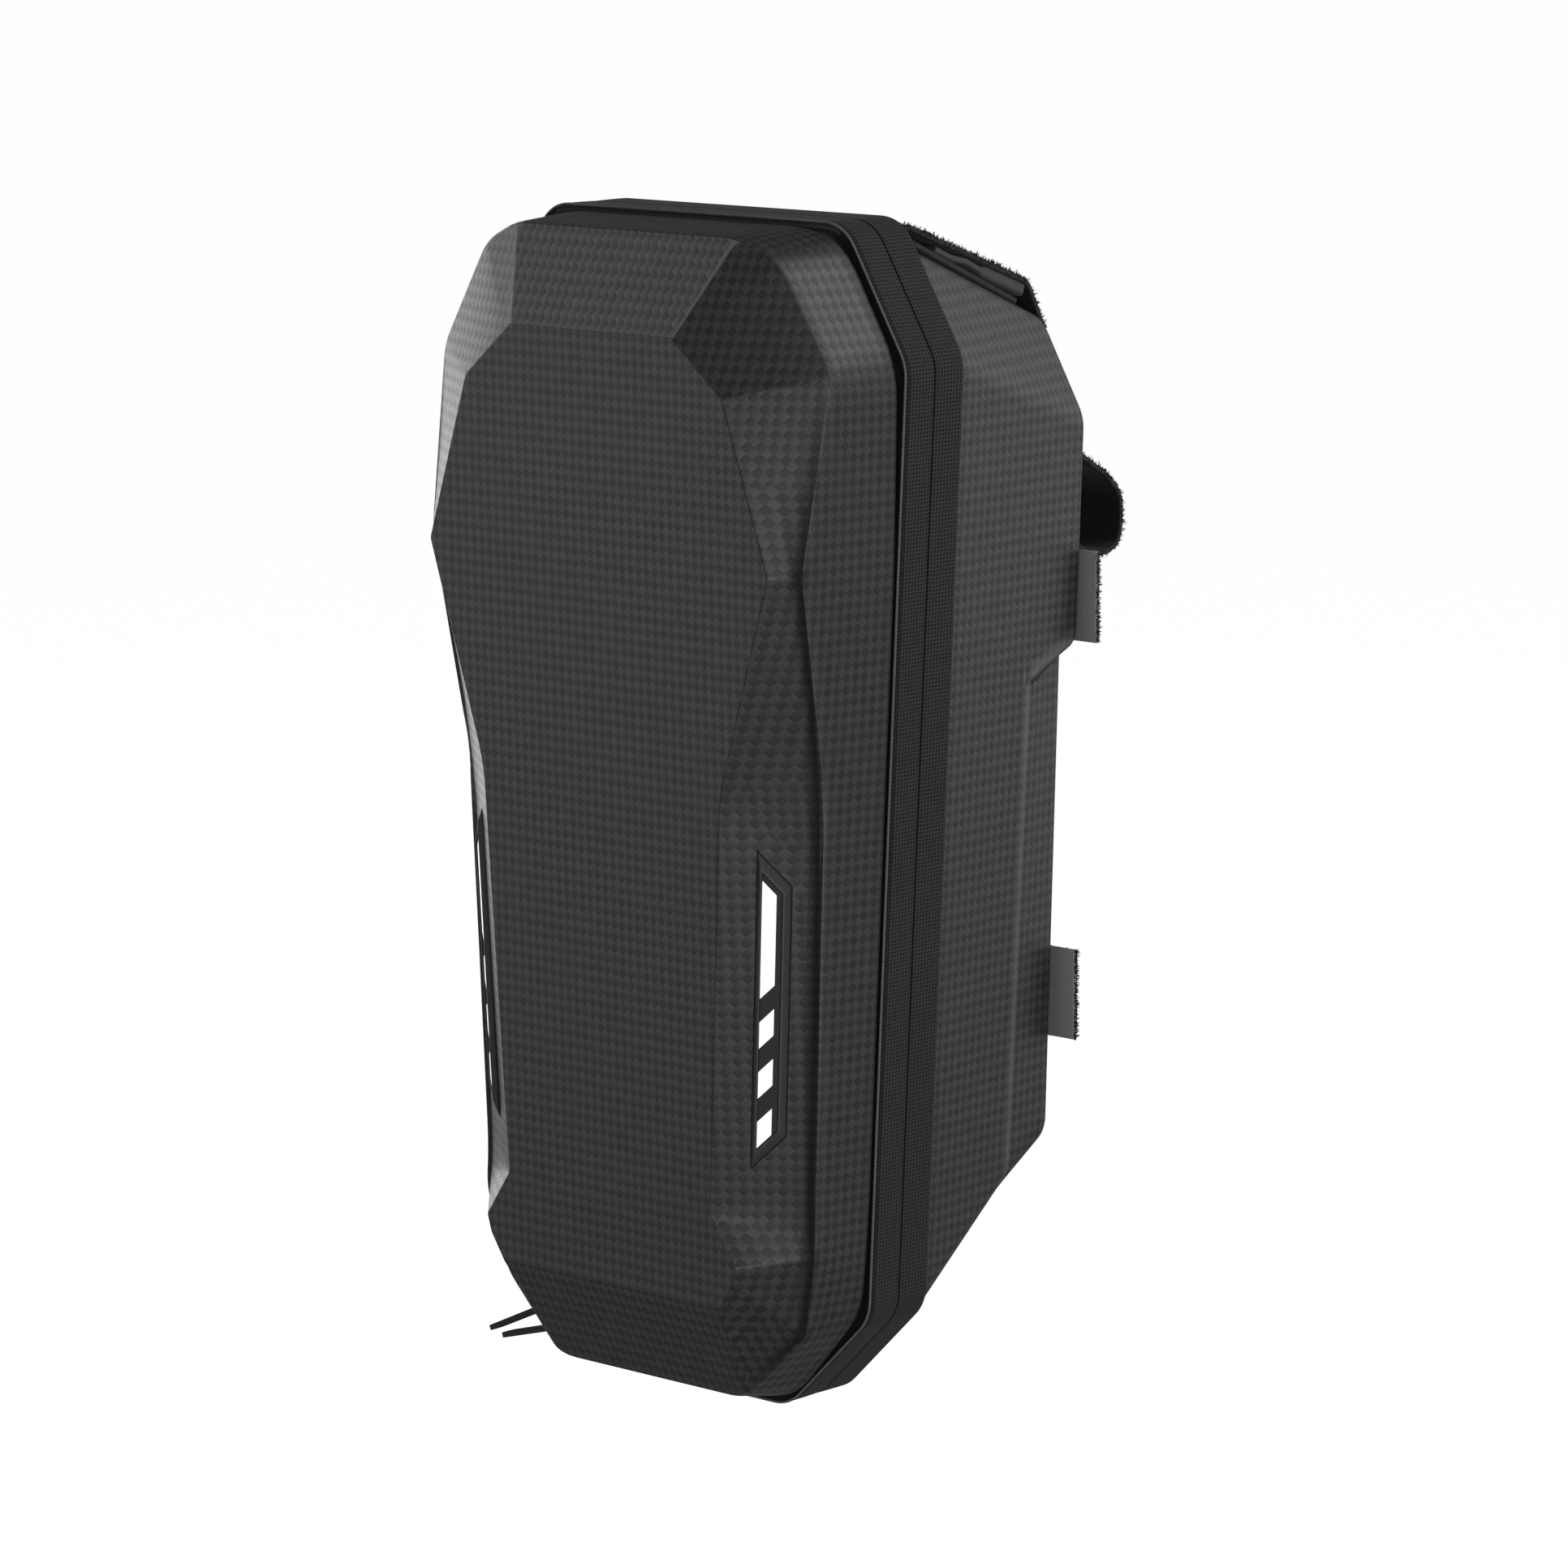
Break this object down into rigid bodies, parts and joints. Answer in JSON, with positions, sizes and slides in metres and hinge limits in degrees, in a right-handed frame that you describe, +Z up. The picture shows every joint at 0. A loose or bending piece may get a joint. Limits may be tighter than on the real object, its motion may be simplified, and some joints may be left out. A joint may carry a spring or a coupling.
{
  "type": "hard-shell handlebar case",
  "caption": "Moulded hard-shell bike case with a faceted lid on a fabric hinge, a zip all round, side reflectors, and hook-and-loop straps for handlebar and stem.",
  "frame": {"origin": "handlebar axis on the mid-plane, in the middle of the two bar loops", "axes": "+Z up, +X to the right seen from the front, the lid's panel faces -Y"},
  "size_m": [0.1652, 0.1614, 0.3251],
  "materials": {
    "shell_skin": "satin diamond weave",
    "welt": "satin",
    "tape": "fine woven",
    "coil": "satin",
    "slider_metal": "black lacquer",
    "pull": "matt moulded",
    "lining": "knitted",
    "mesh": "open mesh",
    "stiffener": "plain sheet",
    "reflector_tray": "satin",
    "reflector": "bright reflective",
    "strap": "loop pile outside, smooth inside"
  },
  "bodies": {
    "rear_case": {"rear_shell": "shell_skin", "zip_tape_body": "tape", "zip_coil_body": "coil", "zip_end_stops": "slider_metal", "hinge_strip_body": "lining", "bar_strap_left": "strap", "bar_strap_right": "strap", "stem_strap_upper": "strap", "stem_strap_lower": "strap", "back_stiffener": "stiffener"},
    "lid": {"front_shell": "shell_skin", "lid_welt": "welt", "zip_tape_lid": "tape", "zip_coil_lid": "coil", "hinge_strip_lid": "lining", "reflector_frame_left": "reflector_tray", "reflector_frame_right": "reflector_tray", "reflector_strips_left": "reflector", "reflector_strips_right": "reflector", "lid_mesh_pocket": "mesh", "lid_pocket_binding": "lining"},
    "slider_upper": {"zip_slider_upper": "slider_metal"},
    "slider_lower": {"zip_slider_lower": "slider_metal"},
    "pull_upper": {"zip_pull_upper": "pull"},
    "pull_lower": {"zip_pull_lower": "pull"},
    "flap_upper_left": {"stem_flap_upper_left": "strap"},
    "flap_upper_right": {"stem_flap_upper_right": "strap"},
    "flap_lower_left": {"stem_flap_lower_left": "strap"},
    "flap_lower_right": {"stem_flap_lower_right": "strap"}
  },
  "joints": [
    {"name": "lid_hinge", "type": "hinge", "parent": "rear_case", "child": "lid", "pos_m": [0, -0.082, -0.24], "axis": [1, 0, 0], "range_deg": [0, 90]},
    {"name": "slider_upper_slide", "type": "slide", "parent": "rear_case", "child": "slider_upper", "axis": [-0.7071, 0, 0.7071], "range_m": [0, 0.0055]},
    {"name": "slider_lower_slide", "type": "slide", "parent": "rear_case", "child": "slider_lower", "axis": [-0.7071, 0, 0.7071], "range_m": [-0.0034, 0]},
    {"name": "pull_upper_swing", "type": "hinge", "parent": "slider_upper", "child": "pull_upper", "pos_m": [-0.05436, -0.082, -0.22529], "axis": [0, 1, 0], "range_deg": [0, 60]},
    {"name": "pull_lower_swing", "type": "hinge", "parent": "slider_lower", "child": "pull_lower", "pos_m": [-0.04728, -0.082, -0.23236], "axis": [0, -1, 0], "range_deg": [0, 90]},
    {"name": "flap_upper_right_fold", "type": "hinge", "parent": "rear_case", "child": "flap_upper_right", "pos_m": [0.0518, -0.0124, -0.024], "axis": [0, 0, 1], "range_deg": [0, 90]},
    {"name": "flap_upper_left_fold", "type": "hinge", "parent": "rear_case", "child": "flap_upper_left", "pos_m": [-0.0518, -0.0124, -0.024], "axis": [0, 0, -1], "range_deg": [0, 90]},
    {"name": "flap_lower_right_fold", "type": "hinge", "parent": "rear_case", "child": "flap_lower_right", "pos_m": [0.0518, -0.0159, -0.1335], "axis": [0, 0, 1], "range_deg": [0, 90]},
    {"name": "flap_lower_left_fold", "type": "hinge", "parent": "rear_case", "child": "flap_lower_left", "pos_m": [-0.0518, -0.0159, -0.1335], "axis": [0, 0, -1], "range_deg": [0, 90]}
  ]
}
